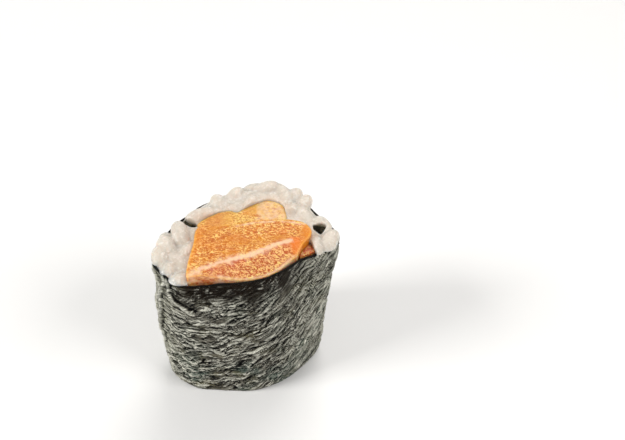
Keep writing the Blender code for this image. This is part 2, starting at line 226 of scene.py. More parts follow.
@functools.cache
def closed_curve(points, samples=SAMPLES):
    """Points of the smooth closed curve through `points`, spaced evenly by length, with its outward normals."""
    p = np.array(points, float)
    t = np.arange(samples) * len(p) / samples
    i = t.astype(int)
    t = (t - i)[:, None]
    a, b, c, d = (p[(i + k) % len(p)] for k in (-1, 0, 1, 2))
    curve = 0.5 * (2 * b + (c - a) * t + (2 * a - 5 * b + 4 * c - d) * t**2 + (3 * b - a - 3 * c + d) * t**3)
    steps = np.hypot(*(np.roll(curve, -1, 0) - curve).T)
    along = np.concatenate([[0.0], np.cumsum(steps)])
    even = np.arange(samples) * along[-1] / samples
    closed = np.vstack([curve, curve[:1]])
    curve = np.stack([np.interp(even, along, closed[:, k]) for k in (0, 1)], 1)
    tangent = np.roll(curve, -3, 0) - np.roll(curve, 3, 0)
    tangent /= np.hypot(*tangent.T)[:, None]
    return curve, np.stack([tangent[:, 1], -tangent[:, 0]], 1)


def outline_length(points):
    """The length round a closed curve."""
    curve, _ = closed_curve(points)
    return float(np.hypot(*(np.roll(curve, -1, 0) - curve).T).sum())


def rim_share(z):
    """How much of the rim's outline the wall has at height z: all of it at the top, none below the bulge."""
    return smooth((np.asarray(z, float) / HEIGHT - BULGE_TOP) / (1.0 - BULGE_TOP))


def wall(turn, z, out=0.0):
    """Points on the wall at `turn` (0 to 1 round the outline) and height z, moved outwards by `out`."""
    turn, z, out = np.broadcast_arrays(turn, np.asarray(z, float), out)
    share = rim_share(z)[..., None]
    at = (turn % 1.0) * SAMPLES
    low = at.astype(int)
    part = (at - low)[..., None]
    mixed = []
    for outline in (RIM_OUTLINE, FOOT_OUTLINE):
        for values in closed_curve(outline):
            mixed.append(values[low % SAMPLES] * (1 - part) + values[(low + 1) % SAMPLES] * part)
    point = mixed[0] * share + mixed[2] * (1 - share)
    normal = mixed[1] * share + mixed[3] * (1 - share)
    normal /= np.linalg.norm(normal, axis=-1, keepdims=True)
    return np.concatenate([point + normal * out[..., None], z[..., None]], -1)


def wall_radius(angle, z, out=0.0):
    """Distance from the roll's axis to the wall, in the direction `angle` in radians."""
    turns = np.arange(360) / 360.0
    radii = []
    for level in (HEIGHT, 0.0):
        ring = wall(turns, level, out)
        directions = np.arctan2(ring[:, 1], ring[:, 0])
        order = np.argsort(directions)
        lengths = np.hypot(ring[:, 0], ring[:, 1])
        radii.append(np.interp(angle, directions[order], lengths[order], period=2 * math.pi))
    share = rim_share(z)
    return radii[0] * share + radii[1] * (1 - share)


def lumps(along, z):
    """Smooth bumps from 0 to 1 over the sheet: four crossed sets of waves, at `along` round it and height z."""
    k = 2 * math.pi / LUMP_WIDTH
    waves = np.sin(k * (along + 0.35 * z)) + np.sin(k * (0.8 * z - 0.45 * along) + 1.1)
    waves = waves + np.sin(0.61 * k * (along - 0.9 * z) + 2.3)
    waves = waves + 0.6 * np.sin(1.7 * k * (0.3 * along + z) + 0.4)
    return np.clip(0.5 + waves / 7.2, 0.0, 1.0)


def pressed(along, z):
    """How far the rice presses the sheet outwards: the lumps, fading to nothing at the foot."""
    return LUMP_DEPTH * lumps(along, z) * smooth(z / FOOT_PLAIN)


def rim_height(turn):
    """Height of the nori's cut edge, which waves a little."""
    a = 2 * math.pi * np.asarray(turn)
    return HEIGHT + RIM_WAVE * (0.6 * np.sin(2 * a + 0.4) + 0.4 * np.sin(5 * a + 1.0))


def line_distance(x, y, line):
    """Distance from points to the nearest leg of a line of points, and how far along it, 0 to 1, they lie."""
    line = np.array(line, float)
    best = np.full(np.shape(x), 1e9)
    share = np.zeros(np.shape(x))
    for k, (start, end) in enumerate(zip(line, line[1:])):
        run = end - start
        t = np.clip(((x - start[0]) * run[0] + (y - start[1]) * run[1]) / (run @ run), 0.0, 1.0)
        gap = np.hypot(x - start[0] - t * run[0], y - start[1] - t * run[1])
        share = np.where(gap < best, (k + t) / (len(line) - 1), share)
        best = np.minimum(best, gap)
    return best, share


def put_in_metres(points):
    """Points in metres, in the frame."""
    return (np.asarray(points).reshape(-1, 3) + AXIS) * MM


def new_object(name, data):
    """A new object in the scene."""
    found = bpy.data.objects.new(name, data)
    bpy.context.scene.collection.objects.link(found)
    return found


def set_values(mesh, layers):
    """Gives the points of a mesh their values, by name."""
    for key, values in layers.items():
        layer = mesh.attributes.new(key, "FLOAT", "POINT")
        layer.data.foreach_set("value", np.ravel(values).astype(np.float32))


def new_piece(name, points, faces, material, layers=None, node=None):
    """A piece: its mesh, its material, its values per point and the solid that it stands for."""
    mesh = bpy.data.meshes.new(name)
    mesh.from_pydata(put_in_metres(points).tolist(), [], faces)
    mesh.validate()
    set_values(mesh, layers or {})
    mesh.shade_smooth()
    mesh.materials.append(material)
    piece = new_object(name, mesh)
    if node:
        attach(piece, "root")
        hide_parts(node)
    return piece


def grid_faces(rows, columns, close_rows=False, close_columns=False):
    """Quads of a grid of points, as lists of point numbers; either way round may close on itself."""
    r = np.arange(rows if close_rows else rows - 1)[:, None]
    c = np.arange(columns if close_columns else columns - 1)[None, :]
    r2, c2 = (r + 1) % rows, (c + 1) % columns
    quads = np.stack([r * columns + c, r * columns + c2, r2 * columns + c2, r2 * columns + c], -1)
    return quads.reshape(-1, 4)


# Materials


class Nodes:
    """A new material and short ways to add its nodes."""

    def __init__(self, name):
        self.material = bpy.data.materials.new(name)
        self.material.use_nodes = True
        self.tree = self.material.node_tree
        self.shader = self.tree.nodes["Principled BSDF"]
        self.place = self.tree.nodes.new("ShaderNodeTexCoord").outputs["Object"]

    def plug(self, value, socket):
        """Sets a socket to a number or colour, or links it to another node's output."""
        if isinstance(value, bpy.types.NodeSocket):
            self.tree.links.new(value, socket)
        else:
            socket.default_value = value

    def fill(self, node, values):
        """Plugs a node's inputs, named with spaces as underscores, and gives the node."""
        for name, value in values.items():
            self.plug(value, node.inputs[name.replace("_", " ")])
        return node

    def add(self, kind, **values):
        """A new node of that kind."""
        return self.fill(self.tree.nodes.new("ShaderNode" + kind), values)

    def attribute(self, name):
        """The value per point of that name."""
        found = self.add("Attribute")
        found.attribute_name = name
        return found.outputs["Fac"]

    def stretched(self, scale, turn=0.0):
        """Object coordinates in metres, turned about Z and scaled."""
        angle = (0.0, 0.0, math.radians(turn))
        found = self.add("Mapping", Vector=self.place, Rotation=angle, Scale=scale)
        return found.outputs["Vector"]

    def together(self, first, second, scale):
        """Two numbers as the x and y of a place, each scaled."""
        found = self.add("CombineXYZ", X=self.times(first, scale[0]), Y=self.times(second, scale[1]))
        return found.outputs["Vector"]

    def cloud(self, scale, detail=3.0, roughness=0.5, vector=None, distortion=0.0):
        """Noise from 0 to 1, with `scale` hills to a metre."""
        found = self.add("TexNoise", Vector=vector or self.place, Scale=scale, Detail=detail, Roughness=roughness)
        return self.fill(found, {"Distortion": distortion}).outputs["Fac"]

    def ramp(self, value, low, high, to_low=0.0, to_high=1.0):
        """The value taken smoothly from the range low..high to to_low..to_high, and held outside it."""
        found = self.add("MapRange", Value=value, From_Min=low, From_Max=high, To_Min=to_low, To_Max=to_high)
        found.interpolation_type = "SMOOTHSTEP"
        return found.outputs["Result"]

    def math(self, operation, *values):
        """One sum of two or three numbers."""
        found = self.add("Math")
        found.operation = operation
        for value, socket in zip(values, found.inputs):
            self.plug(value, socket)
        return found.outputs["Value"]

    def times(self, first, second):
        """Two numbers multiplied."""
        return self.math("MULTIPLY", first, second)

    def mix(self, share, first, second):
        """A colour between two others."""
        found = self.add("Mix")
        found.data_type = "RGBA"
        self.plug(share, found.inputs["Factor"])
        for value, socket in zip((first, second), [s for s in found.inputs if s.type == "RGBA"]):
            self.plug(value, socket)
        return [s for s in found.outputs if s.type == "RGBA"][0]

    def bump(self, height, depth, normal=None):
        """The surface raised by a height from 0 to 1, times `depth` in metres."""
        found = self.add("Bump", Distance=depth, Height=height)
        if normal:
            self.plug(normal, found.inputs["Normal"])
        return found.outputs["Normal"]

    def finish(self, **values):
        """Fills the shader's own inputs, and gives the material."""
        self.fill(self.shader, values)
        return self.material


def rgb(r, g, b):
    """A colour from linear red, green and blue."""
    return (r, g, b, 1.0)


def nori_material():
    """Pressed seaweed: grey-brown with teal and olive patches, and brown-black where it is damp. Painted light and
    shade: pale as painted highlight on its ridges and its flanks, near black as painted shade in its hollows, and
    thin black lines of painted shadow with a painted highlight on one side, following the wrinkles in three sizes."""
    m = Nodes("nori_pressed")
    damp = m.attribute("damp")
    around, up = m.attribute("around"), m.attribute("up")
    tone = m.attribute("painted_shading")
    relief = None
    busy = m.ramp(m.cloud(1.0, 1.0, 0.5, m.together(around, up, (0.16, 0.30))), 0.38, 0.60, 0.35, 1.25)
    busy = m.times(busy, m.attribute("plain"))
    # In each size, a thin black line of painted shadow runs under each fold with a painted highlight beside it, and
    # the fold's relief is a bump.
    for size, line, beside, depth in (
        ((0.15, 0.72), -0.34, 0.10, 0.00050),
        ((0.40, 2.1), -0.42, 0.38, 0.00030),
        ((0.80, 4.2), -0.30, 0.34, 0.00012),
    ):
        folds = m.cloud(1.0, 2.0, 0.5, m.together(around, up, size), 0.2)
        side = m.math("SUBTRACT", folds, 0.5)
        away = m.math("ABSOLUTE", side)
        lip = m.times(m.ramp(side, 0.02, 0.05), m.ramp(side, 0.05, 0.12, 1.0, 0.0))
        marks = m.times(m.ramp(away, 0.008, 0.042, 1.0, 0.0), line)
        marks = m.math("ADD", marks, m.times(lip, beside))
        tone = m.math("ADD", tone, m.times(marks, busy))
        relief = m.bump(m.ramp(away, 0.0, 0.08), depth, relief)
    green = m.times(m.ramp(m.cloud(160.0, 2.0), 0.45, 0.66), m.ramp(up, 4.0, 16.0, 1.0, 0.35))
    olive = m.ramp(m.cloud(210.0, 2.0, vector=m.stretched((1.0, 1.0, 1.4), 40.0)), 0.5, 0.68)
    middle = m.mix(m.times(green, 0.75), rgb(0.205, 0.190, 0.152), rgb(0.090, 0.160, 0.132))
    middle = m.mix(m.times(olive, 0.6), middle, rgb(0.180, 0.158, 0.070))
    # Painted light: the flanks take a paler colour, as if lit from the side.
    middle = m.mix(m.times(m.attribute("painted_light_mask"), 0.85), middle, rgb(0.50, 0.505, 0.38))
    # Low tone is painted shade, near black; high tone is painted highlight, pale.
    colour = m.mix(m.ramp(tone, 0.08, 0.38), rgb(0.002, 0.002, 0.002), middle)
    colour = m.mix(m.ramp(tone, 0.46, 0.80), colour, rgb(0.72, 0.71, 0.61))
    colour = m.mix(m.ramp(tone, 1.35, 1.9), colour, rgb(0.84, 0.83, 0.73))
    # 1 over most of the sheet and 0.15 on its pale painted highlights, which the damp colour leaves pale.
    painted_light_mask = m.ramp(tone, 0.90, 1.30, 1.0, 0.15)
    wet = m.times(m.times(damp, painted_light_mask), 0.95)
    colour = m.mix(wet, colour, rgb(0.013, 0.0065, 0.002))
    return m.finish(
        Base_Color=colour,
        Roughness=m.ramp(damp, 0.0, 1.0, 0.5, 0.3),
        Specular_IOR_Level=0.05,
        Normal=relief,
    )


def rice_material():
    """Cooked rice: milky, translucent and moist, each grain a little different, with painted light and shade: a warm
    painted tint of light bounced from the salmon beside it, painted shade in the seams and hollows, and painted
    glints.
    """
    m = Nodes("rice_cooked")
    grain = m.attribute("grain")
    salmon_bounce_light = m.attribute("salmon_bounce_light")
    colour = m.mix(grain, rgb(0.64, 0.575, 0.495), rgb(0.57, 0.51, 0.44))
    # Painted light: a warm tint of light bounced from the salmon beside it.
    colour = m.mix(m.times(salmon_bounce_light, 0.6), colour, rgb(0.68, 0.46, 0.32))
    colour = m.mix(m.ramp(m.cloud(420.0, 3.0), 0.35, 0.7, 0.0, 0.5), colour, rgb(0.66, 0.61, 0.54))
    # Painted shade in the seams between grains.
    colour = m.mix(m.times(m.attribute("seam_shade"), 0.22), colour, rgb(0.42, 0.35, 0.27))
    # Painted glints: small pale spots.
    colour = m.mix(m.ramp(m.cloud(2200.0, 2.0, 0.6), 0.52, 0.70, 0.0, 0.55), colour, rgb(0.80, 0.76, 0.71))
    # Painted shade in the hollows, dark olive.
    hollow = m.mix(m.ramp(m.cloud(1400.0, 3.0), 0.5, 0.62), rgb(0.030, 0.027, 0.012), rgb(0.17, 0.15, 0.075))
    colour = m.mix(m.attribute("hollow_shade"), colour, hollow)
    relief = m.bump(m.cloud(1100.0, 3.0, 0.5), 0.00028)
    relief = m.bump(m.cloud(4200.0, 2.0), 0.00008, relief)
    return m.finish(
        Base_Color=colour,
        Roughness=m.ramp(m.cloud(900.0, 2.0), 0.3, 0.7, 0.14, 0.34),
        Subsurface_Weight=0.75,
        Subsurface_Radius=(1.0, 0.75, 0.6),
        Subsurface_Scale=0.0026,
        Specular_IOR_Level=0.6,
        Normal=relief,
    )


def salmon_material(name, flesh, flesh_dark, fat, turn):
    """Raw salmon, wet and translucent: orange flesh in fine bands, with redder and amber places, a painted glow,
    golden painted glints and dark flecks of painted shade in patches, painted bright squiggles, ragged fat, and
    painted light along the edge."""
    m = Nodes(name)
    along = m.stretched((0.42, 1.0, 0.8), turn)
    bands = m.ramp(m.cloud(620.0, 3.0, 0.6, along), 0.35, 0.68)
    colour = m.mix(bands, rgb(*flesh_dark), rgb(*flesh))
    colour = m.mix(m.times(m.attribute("red"), 0.85), colour, rgb(0.58, 0.092, 0.024))
    # Painted glow: a bright orange-red band, though the flesh gives no light.
    colour = m.mix(m.attribute("painted_glow"), colour, rgb(0.86, 0.195, 0.012))
    colour = m.mix(m.attribute("amber"), colour, rgb(0.76, 0.235, 0.005))
    clear = m.math("MAXIMUM", m.attribute("amber"), m.attribute("painted_glow"))
    flecks = m.cloud(3900.0, 2.0, 0.6, m.stretched((0.55, 1.0, 0.8), turn), 1.2)
    patch = m.ramp(m.cloud(230.0, 2.0), 0.34, 0.53, 0.3, 1.0)
    # Painted glints: golden flecks in patches, fewer where the flesh is clear.
    shine = m.times(m.ramp(flecks, 0.51, 0.60), patch)
    shine = m.times(shine, m.ramp(clear, 0.3, 0.9, 1.0, 0.15))
    colour = m.mix(shine, colour, rgb(1.0, 0.66, 0.20))
    # Painted shade: dark flecks between the glints.
    shade = m.times(m.ramp(flecks, 0.485, 0.39, 0.0, 0.9), m.ramp(clear, 0.3, 0.9, 1.0, 0.2))
    shade = m.times(shade, patch)
    colour = m.mix(shade, colour, rgb(0.50, 0.085, 0.003))
    # Painted highlight in bright squiggles.
    glint_squiggles = m.ramp(m.cloud(2300.0, 2.0, 0.6, along, 1.8), 0.53, 0.60)
    colour = m.mix(m.times(glint_squiggles, m.attribute("glint_squiggle")), colour, rgb(1.0, 0.62, 0.26))
    ragged = m.math("ADD", m.attribute("fat"), m.ramp(m.cloud(1300.0, 3.0), 0.3, 0.7, -0.22, 0.22))
    colour = m.mix(m.ramp(ragged, 0.1, 0.95, 0.0, 0.82), colour, rgb(*fat))
    # More painted highlight over the glints.
    colour = m.mix(m.times(shine, 0.4), colour, rgb(1.0, 0.70, 0.28))
    # Painted light along the rounded edge.
    colour = m.mix(m.times(m.attribute("edge"), 0.5), colour, rgb(1.0, 0.56, 0.10))
    relief = m.bump(flecks, 0.00022)
    return m.finish(
        Base_Color=colour,
        Roughness=0.3,
        Subsurface_Weight=0.55,
        Subsurface_Radius=(1.0, 0.42, 0.16),
        Subsurface_Scale=0.0018,
        Specular_IOR_Level=0.4,
        Coat_Weight=0.15,
        Coat_Roughness=0.12,
        Normal=relief,
    )


# Nori


def fold_line(hills, along, z, below, width, lip):
    """Marks along the crest line where `hills` is 0: -1 in a thin line of painted shadow just below it, and `lip` of
    painted highlight on its crest. The value of the hills over their slope is the distance from the crest line, so
    the marks are equally wide everywhere. They fade where the slope is small."""
    across = np.gradient(hills, axis=0) / np.abs(np.gradient(along, axis=0)).clip(0.1, 0.5)
    upward = np.gradient(hills, axis=1) / np.abs(np.gradient(z, axis=1)).clip(0.05, 0.2)
    slope = np.hypot(across, upward)
    away = hills / np.maximum(slope, 0.1) * np.sign(upward)
    marks = lip * bell(away - 0.5 * below, width) - bell(away + below, width)
    return marks * smooth((slope - 0.12) / 0.35)


def ridges(hills, steepness, power):
    """1 where `hills` is 0, falling to 0 on both sides: 1 less its size times the steepness, to a power."""
    return np.clip(1.0 - steepness * np.abs(hills), 0.0, 1.0) ** power


def wrinkles(along, z):
    """The sheet's wrinkles: ridges in three sizes, each bent by the one before, which run round the roll and climb
    at its right end. Gives their height, 0 to about 1.3, their marks of painted shadow and painted highlight, and
    the bent coordinates that they follow."""
    climb = 0.5 * (np.hypot(along - CLIMB_START, CLIMB_BEND) + along - CLIMB_START)
    s = along + 1.6 * noise(along / 7.0, z / 5.0, 1) + 0.6 * noise(along / 1.9, z / 1.5, 2)
    v = z - climb + 1.3 * noise(along / 5.5, z / 4.0, 3) + 0.35 * noise(along / 1.7, z / 1.2, 4)
    patches = 0.4 + 0.6 * smooth(0.5 + 1.1 * noise(along / 3.5, z / 2.2, 13))
    bold = 0.3 + 0.7 * smooth(0.5 + noise(along / 4.0, z / 3.0, 14))

    hills = noise(s / BROAD_HILLS[0], v / BROAD_HILLS[1], 5)
    broad = ridges(hills, 2.2, 1.5)
    marks = 1.7 * fold_line(hills, along, z, 0.30, 0.25, 0.42) * bold
    v = v + 0.25 * broad

    hills = noise(s / MIDDLE_HILLS[0], v / MIDDLE_HILLS[1], 6)
    middle = ridges(hills, 2.6, 1.5)
    marks = marks + 1.25 * fold_line(hills, along, z, 0.20, 0.155, 0.56) * patches
    marks = marks * (0.72 + 0.28 * smooth((z - 5.0) / 9.0))
    v = v + 0.12 * middle

    fine = ridges(noise(s / FINE_HILLS[0], v / FINE_HILLS[1], 7), 2.6, 1.3)
    height = 0.55 * broad + 0.55 * middle * patches + 0.25 * fine
    around = along + 0.7 * noise(along / 7.0, z / 5.0, 1)
    flow = z - climb + 0.9 * noise(along / 6.5, z / 5.0, 3) + 0.12 * noise(along / 1.7, z / 1.2, 4)
    return height, marks, around, flow


def make_nori(material):
    """The sheet: each column runs up the outside, over the cut rim and down the inside, and the columns go once
    round the roll and on over the first end. The outside stands out by the lumps, the wrinkles and the creases, and
    its points carry their painted light and shade, the painted paleness of its flanks, and how damp and plain it is."""
    columns, rows = NORI_COLUMNS, NORI_ROWS
    length = outline_length(RIM_OUTLINE)
    half = NORI_THICKNESS / 2
    up = np.linspace(0.0, 1.0, rows)
    frayed = 0.30 * noise(up * 11.0, 0.5, 8) + 0.12 * noise(up * 47.0, 0.5, 9)
    share = np.linspace(0.0, 1.0, columns)[:, None]
    turn = share * (1.0 + (LAP_LENGTH + frayed[None, :]) / length)
    nicks = 0.10 * noise(turn * length / 1.1, 0.3, 10)
    top = rim_height(turn) + nicks + 0.05 * noise(turn * length / 0.4, 0.3, 11)
    z = up[None, :] * top
    along = (turn % 1.0) * length
    lift = smooth(1.0 + (turn - 1.0) * length / LAP_RISE) * (NORI_THICKNESS + LAP_CLEARANCE)
    height, marks, around, flow = wrinkles(turn * length + 0.0 * z, z)

    crease = 0.0
    # Each crease stands out, with a painted highlight on its crest and a thin line of painted shade beside it.
    for line in CREASES:
        gap, _ = line_distance(along + 0.4 * noise(0.0, z / 1.7, 16), z, line)
        near = bell(gap, 1.6)
        crease = np.maximum(crease, bell(gap, 0.20) * smooth(0.9 + noise(along / 2.0, z / 1.3, 17)))
        height = height * (1.0 - 0.6 * near) + CREASE_HEIGHT * bell(gap, 0.35)
        marks = marks * (1.0 - 0.8 * near) - 0.5 * bell(gap - 0.55, 0.20)
    marks = marks - 0.7 * smooth((z - top + 0.32) / 0.22)

    damp = smooth((z - top + 6.2 + 2.2 * noise(along / 3.0, 0.0, 12)) / 4.0)
    damp = damp * smooth((along - 33.5) / 4.0) * smooth((57.0 - along) / 6.0)
    calm = (1.0 - 0.3 * damp) * smooth((z + 0.25) / 0.9) * (0.35 + 0.65 * smooth((top - z) / 0.8))
    middle = lift + pressed(along, z)
    tucked = -0.14 * bell(z, 0.45)
    outside = half + middle + RELIEF * (height - RELIEF_LEVEL) * calm + tucked
    sag = 0.18 * height * calm * smooth(z / 1.5)

    ring = [np.stack([turn, z - sag, outside], -1)]
    for rise, out in ((0.07, 0.62), (0.10, 0.0), (0.07, -0.62)):
        ring.append(np.stack([turn[:, -1:], top[:, -1:] + rise, (half * out + middle)[:, -1:]], -1))
    for k in (rows - 1, rows - 8, rows - 30, rows // 2, rows // 4, 0):
        ring.append(np.stack([turn[:, k], z[:, k], middle[:, k] - half], -1)[:, None, :])
    ring = np.concatenate(ring, 1)
    points = wall(ring[..., 0], ring[..., 1], ring[..., 2])
    count = ring.shape[1]
    faces = grid_faces(columns, count, close_columns=True)[:, ::-1].tolist()
    faces += [list(range(count))[::-1], list(range(count * (columns - 1), count * columns))]

    # Painted light: the left flank, and less the right one, made paler as if lit from the side.
    painted_light_mask = smooth((38.0 - along) / 9.0) * smooth((along - 14.0) / 8.0) + 0.35 * smooth((along - 50.0) / 8.0)
    plain = smooth((z - 0.4) / 1.2)
    # Painted light and shade at the foot: a pale line on the lip just above it, and darker at the very bottom.
    lip = bell(z - 0.5, 0.22) * smooth(0.6 + noise(along / 3.0, 0.0, 15)) - bell(z, 0.25)
    # The tone is painted light and shade: paler where the wrinkles stand higher and darker where they sink, with the
    # marks, creases, flanks and foot added.
    tone = 0.43 + 0.25 * (height - 0.43) + marks * (1.0 + 0.15 * painted_light_mask) * plain
    tone = tone + 2.0 * crease + 0.17 * painted_light_mask + 0.3 * lip
    layers = {"painted_shading": tone, "painted_light_mask": painted_light_mask, "plain": plain, "damp": damp, "around": around, "up": flow}
    for key, values in layers.items():
        layers[key] = np.full((columns, count), INSIDE_TONE if key == "painted_shading" else 0.0)
        layers[key][:, :rows] = values
    new_piece("nori_sheet", points, faces, material, layers, "nori")


# Salmon


def follow_wall(points, z, inset=None):
    """Plan points drawn at the rim, carried down to height z with the wall, and kept `inset` inside it."""
    angle = np.arctan2(points[..., 1], points[..., 0])
    radius = np.hypot(points[..., 0], points[..., 1])
    radius = radius * wall_radius(angle, z) / wall_radius(angle, HEIGHT)
    if inset is not None:
        radius = np.minimum(radius, wall_radius(angle, z, -inset))
    return np.stack([radius * np.cos(angle), radius * np.sin(angle)], -1)


def crest_distance(points):
    """How far in front of the slab's bowed crest line each plan point lies: positive towards the front."""
    start, end = np.array(CREST_FROM), np.array(CREST_TO)
    run = (end - start) / np.linalg.norm(end - start)
    along = (points - start) @ run / np.linalg.norm(end - start)
    bow = CREST_BOW * 4.0 * np.clip(along, 0, 1) * (1 - np.clip(along, 0, 1))
    return bow - (points - start) @ np.array([-run[1], run[0]])


def slab_top(points):
    """Height of the big strip's cut face: nearly level behind the crest, and sloping to the rim in front."""
    ahead = crest_distance(points)
    rise = SLAB_CREST * bell(ahead, 1.6)
    return SLAB_TOP + rise - SLAB_FRONT_DROP * smooth(ahead / 4.5)


def slab_looks(points):
    """Where the slab's flesh is fat, redder or amber, and where it has painted bright squiggles and a painted glow,
    from plan places. The fat is a line along the crest and a film beside the nori in front, and a painted highlight
    along the back edge takes the fat's colour. The flesh is redder in front of the crest, and bends down to its
    amber end in a band of painted glow."""
    x, y = points[..., 0], points[..., 1]
    gap, share = line_distance(x, y, FAT_LINE)
    gap = gap + 0.16 * noise(x / 1.3, y / 1.3, 30)
    core = 0.4 + 0.6 * smooth((share - 0.2) / 0.3)
    fat = 0.55 * bell(gap, 1.1 - 0.5 * share) + 0.55 * bell(gap, 0.32) * core
    fat = fat * smooth((1.02 - share) / 0.12)
    to_wall = wall_radius(np.arctan2(y, x), HEIGHT) - np.hypot(x, y)
    film = bell(to_wall - 0.42, 0.30) * smooth((x + 6.0) / 4.0) * smooth((-3.0 - y) / 2.0)
    thick = 0.4 + 0.35 * smooth(0.5 + noise(x / 1.9, y / 1.9, 32)) + 0.2 * smooth((x - 3.0) / 3.0)
    fat = np.maximum(fat, film * thick)
    # Painted highlight along the back edge, mixed into the fat.
    to_back, _ = line_distance(x, y, BACK_EDGE)
    back_edge_highlight = bell(to_back - 0.55, 0.28) * (0.5 + 0.5 * smooth(0.5 + noise(x / 1.6, y / 1.6, 33)))
    fat = np.maximum(fat, 0.75 * back_edge_highlight)

    ahead = crest_distance(points) + 0.4 * noise(x / 2.2, y / 2.2, 31)
    bend = x - 6.5 + 0.25 * (y + 2.3)
    front = smooth((-1.5 - y) / 0.6)
    # Painted glow in a band where the flesh bends down to its amber end.
    painted_glow = smooth((bend + 0.2) / 0.8) * smooth((2.8 - bend) / 1.3) * front * (1.0 - 0.6 * fat)
    red = smooth((ahead + 0.1) / 0.8) * smooth((0.4 - bend) / 0.6)
    red = np.maximum(red, 0.6 * smooth((-6.4 - x) / 0.8) * smooth((y + 3.4) / 1.0))
    amber = np.maximum(smooth((x - 7.4) / 1.8) * (1.0 - front), smooth((bend - 1.5) / 1.2) * front)
    amber = np.maximum(amber, 0.6 * smooth((-5.9 - x) / 1.5))
    # Painted bright squiggles in front of the crest.
    glint_squiggle = 0.8 * smooth((ahead - 0.2) / 0.8) * smooth((0.6 - bend) / 0.6) * (1.0 - 0.8 * film)
    return {"fat": fat, "red": red, "amber": amber, "glint_squiggle": glint_squiggle, "painted_glow": 0.7 * painted_glow}


def strip_looks(points):
    """The strip behind: pale on its right half, with slanting white bands and a painted glow at its right end, and
    redder at its left end."""
    x, y = points[..., 0], points[..., 1]
    bands = 0.5 + 0.5 * np.sin(2 * math.pi * (x + 0.55 * y) / 1.35)
    fat = smooth((x + 0.4) / 1.6) * (0.51 + 0.2125 * bands**2)
    red = 0.48 * smooth((-3.6 - x) / 2.0)
    amber = 0.2 * smooth((0.6 - np.abs(x + 1.2) / 2.4) / 0.6)
    # Painted glow at the right end.
    painted_glow = 0.5 * smooth((x - 4.2) / 0.8)
    return {"fat": fat, "red": red, "amber": amber, "glint_squiggle": 0.0 * x, "painted_glow": painted_glow}


def sliver_looks(points):
    """The sliver is dark red all over: painted shade, as it lies lower than the slab, in shadow."""
    zero = np.zeros(points.shape[:-1])
    return {"fat": zero, "red": zero + 1.0, "amber": zero, "glint_squiggle": zero, "painted_glow": zero}


def level(height):
    """A flat cut face at that height."""
    return lambda points: np.full(len(points), height)


def make_strip(node, outline, top, looks, material, across, relief, swell):
    """A strip as rings of one outline: from the middle of the lower cut face out to its edge, up the sides, over a
    rounded edge and in to the middle of the upper cut face. Both faces have a relief of fine stretched noise, and
    `across` is the strip's half width."""
    around = 340 if across > 6 else 220
    edge, normal = closed_curve(outline, around)
    edge = edge + normal * swell
    middle = edge.mean(0)
    inset = NORI_THICKNESS / 2 + STRIP_GAP
    rounding = EDGE_ROUND / across
    inward = np.linspace(0.0, 1.0, int(across / RING_STEP))[1:-1]
    rings = [(1.0 - share, 0.0, "lower") for share in inward[::-1]] + [(1.0, 0.12, "lower")]
    rings += [(1.0, z, "side") for z in (0.5, 3.0, 9.0, 16.0, 21.0, 26.0, 30.0, 33.0)]
    for bend in np.linspace(0.0, 1.0, 8)[:-1]:
        angle = 0.5 * math.pi * bend
        rings.append((1.0 - rounding * (1.0 - math.cos(angle)), EDGE_ROUND * (math.sin(angle) - 1.0), "upper"))
    rings += [(1.0 - rounding - (1.0 - rounding) * share, 0.0, "upper") for share in inward]
    count = len(rings)
    shares = np.array([ring[0] for ring in rings])[:, None, None]

    x, y = np.moveaxis(middle + (edge - middle)[None] * shares, -1, 0)
    rough = 0.6 * noise(x / 0.9, y / 0.45, 20) + 0.4 * noise(x / 0.42, y / 0.28, 21)
    rough = rough + 0.8 * noise(x / 3.4, y / 1.7, 22)
    kept = follow_wall(edge, HEIGHT, inset)
    foot = follow_wall(edge, 0.0, inset + 0.03)
    foot_middle = foot.mean(0)
    z = np.empty((count, around))
    flat = np.empty((count, around, 2))
    for k, (share, rise, place) in enumerate(rings):
        inner = (1.0 - share) * across
        if place == "upper":
            flat[k] = middle + (kept - middle) * share
            z[k] = top(flat[k]) + rise + relief * rough[k] * smooth(inner / 0.5)
        elif place == "side":
            flat[k] = follow_wall(edge, rise, inset)
            z[k] = rise
        else:
            flat[k] = foot_middle + (foot - foot_middle) * share
            z[k] = rise + 0.35 * relief * (1.0 + rough[k]) * smooth(inner / 0.4) * (rise == 0.0)

    points = np.concatenate([flat, z[..., None]], -1).reshape(-1, 3)
    last = (count - 1) * around
    low, high = len(points), len(points) + 1
    faces = grid_faces(count, around, close_columns=True).tolist()
    faces += [[low, (i + 1) % around, i] for i in range(around)]
    faces += [[high, last + i, last + (i + 1) % around] for i in range(around)]
    points = np.vstack([points, points[:around].mean(0), points[last:].mean(0)])

    plan = middle + (kept - middle)[None] * shares
    layers = looks(np.vstack([plan.reshape(-1, 2), middle, middle]))
    # Painted light along the rounded edge of the upper cut face.
    light = []
    for share, rise, place in rings:
        light.append(bell((1.0 - share) * across, 0.3) * (1.0 + 4.0 * rise) if place == "upper" else 0.0)
    layers["edge"] = np.append(np.repeat(light, around), (0.0, 0.0)) * smooth(across - 2.0)
    new_piece(node + "_flesh", points, faces, material, layers, node)


# Rice


def rice_level(points):
    """Mean height of the rice's cut top, which stands higher towards the back of the roll."""
    back = (points @ np.array([-0.25, 0.97]) + 2.0) / 10.0
    return RICE_TOP + RICE_BACK_RISE * smooth(back)


